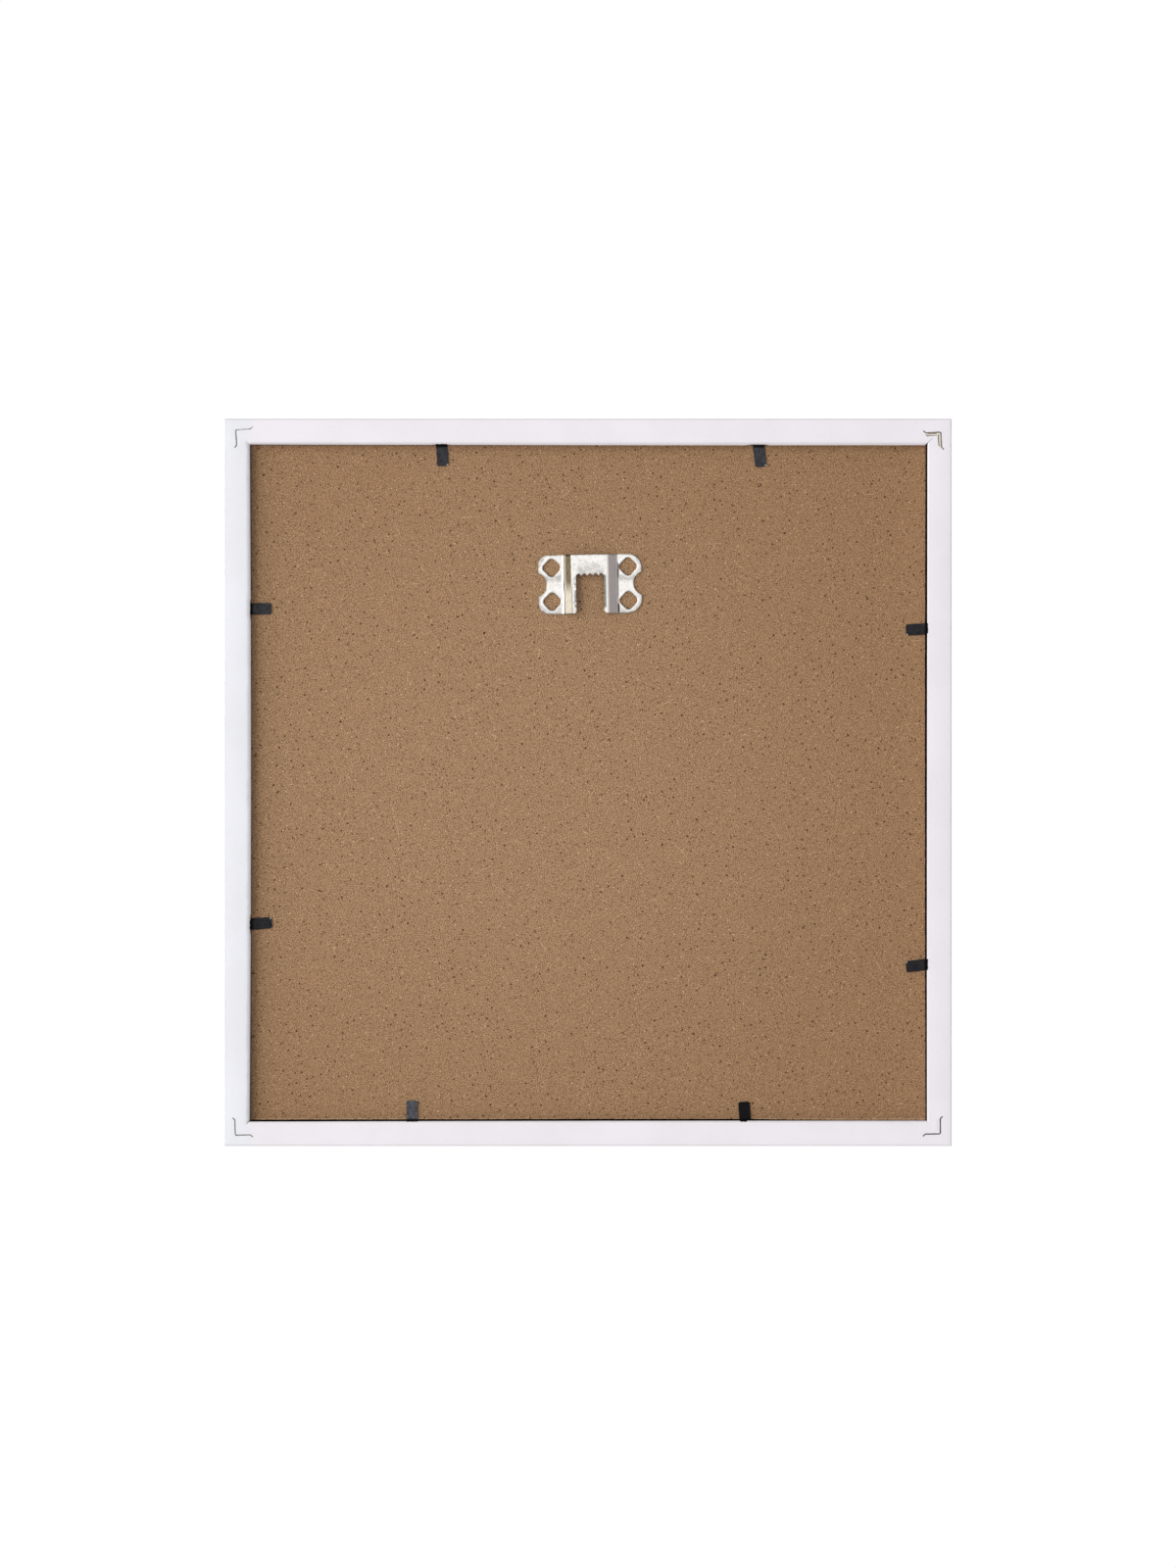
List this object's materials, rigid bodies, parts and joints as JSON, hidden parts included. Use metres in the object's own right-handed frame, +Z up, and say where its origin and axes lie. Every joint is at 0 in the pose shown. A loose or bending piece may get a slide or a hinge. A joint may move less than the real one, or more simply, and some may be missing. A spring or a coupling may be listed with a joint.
{
  "type": "picture frame",
  "caption": "Square white wooden picture frame for a 30 x 30 cm sheet, with glass, hardboard back, flexible steel tabs and a sawtooth wall hanger.",
  "frame": {"origin": "nail seat: the middle notch of the sawtooth hanger, half way through its sheet metal", "axes": "+Z up as it hangs, +Y towards the wall, so the picture faces -Y; +X to the right as seen from the picture side"},
  "size_m": [0.324, 0.015, 0.324],
  "materials": {
    "white_paint": "white painted, satin",
    "hardboard": "bare fibreboard, matt",
    "zinc_steel": "bright plated, satin",
    "bare_steel": "dull bare steel",
    "black_steel": "black, semi-gloss",
    "glass": "clear polished",
    "paper": "blank, matt"
  },
  "bodies": {
    "frame": {"top_rail": "white_paint", "right_rail": "white_paint", "bottom_rail": "white_paint", "left_rail": "white_paint", "corner_nail_top_right": "bare_steel", "corner_nail_bottom_right": "bare_steel", "corner_nail_bottom_left": "bare_steel", "corner_nail_top_left": "bare_steel", "glass_pane": "glass", "insert_sheet": "paper", "backing_board": "hardboard", "sawtooth_hanger": "zinc_steel", "tab_blade_top_right": "black_steel", "tab_blade_top_left": "black_steel", "tab_blade_right_upper": "black_steel", "tab_blade_right_lower": "black_steel", "tab_blade_bottom_right": "black_steel", "tab_blade_bottom_left": "black_steel", "tab_blade_left_upper": "black_steel", "tab_blade_left_lower": "black_steel"},
    "leaf_top_right": {"tab_leaf_top_right": "black_steel"},
    "leaf_top_left": {"tab_leaf_top_left": "black_steel"},
    "leaf_right_upper": {"tab_leaf_right_upper": "black_steel"},
    "leaf_right_lower": {"tab_leaf_right_lower": "black_steel"},
    "leaf_bottom_right": {"tab_leaf_bottom_right": "black_steel"},
    "leaf_bottom_left": {"tab_leaf_bottom_left": "black_steel"},
    "leaf_left_upper": {"tab_leaf_left_upper": "black_steel"},
    "leaf_left_lower": {"tab_leaf_left_lower": "black_steel"}
  },
  "joints": [
    {"name": "bend_top_right", "type": "hinge", "parent": "frame", "child": "leaf_top_right", "pos_m": [0.06612, -0.00225, 0.05705], "axis": [1, 0, 0], "range_deg": [0, 90]},
    {"name": "bend_top_left", "type": "hinge", "parent": "frame", "child": "leaf_top_left", "pos_m": [-0.07513, -0.00225, 0.05705], "axis": [1, 0, 0], "range_deg": [0, 90]},
    {"name": "bend_right_upper", "type": "hinge", "parent": "frame", "child": "leaf_right_upper", "pos_m": [0.1511, -0.00225, -0.01587], "axis": [0, 0, -1], "range_deg": [0, 90]},
    {"name": "bend_right_lower", "type": "hinge", "parent": "frame", "child": "leaf_right_lower", "pos_m": [0.1511, -0.00225, -0.15651], "axis": [0, 0, -1], "range_deg": [0, 90]},
    {"name": "bend_bottom_right", "type": "hinge", "parent": "frame", "child": "leaf_bottom_right", "pos_m": [0.07924, -0.00225, -0.24345], "axis": [-1, 0, 0], "range_deg": [0, 90]},
    {"name": "bend_bottom_left", "type": "hinge", "parent": "frame", "child": "leaf_bottom_left", "pos_m": [-0.06925, -0.00225, -0.24345], "axis": [-1, 0, 0], "range_deg": [0, 90]},
    {"name": "bend_left_upper", "type": "hinge", "parent": "frame", "child": "leaf_left_upper", "pos_m": [-0.1494, -0.00225, -0.02476], "axis": [0, 0, 1], "range_deg": [0, 90]},
    {"name": "bend_left_lower", "type": "hinge", "parent": "frame", "child": "leaf_left_lower", "pos_m": [-0.1494, -0.00225, -0.17445], "axis": [0, 0, 1], "range_deg": [0, 90]}
  ]
}
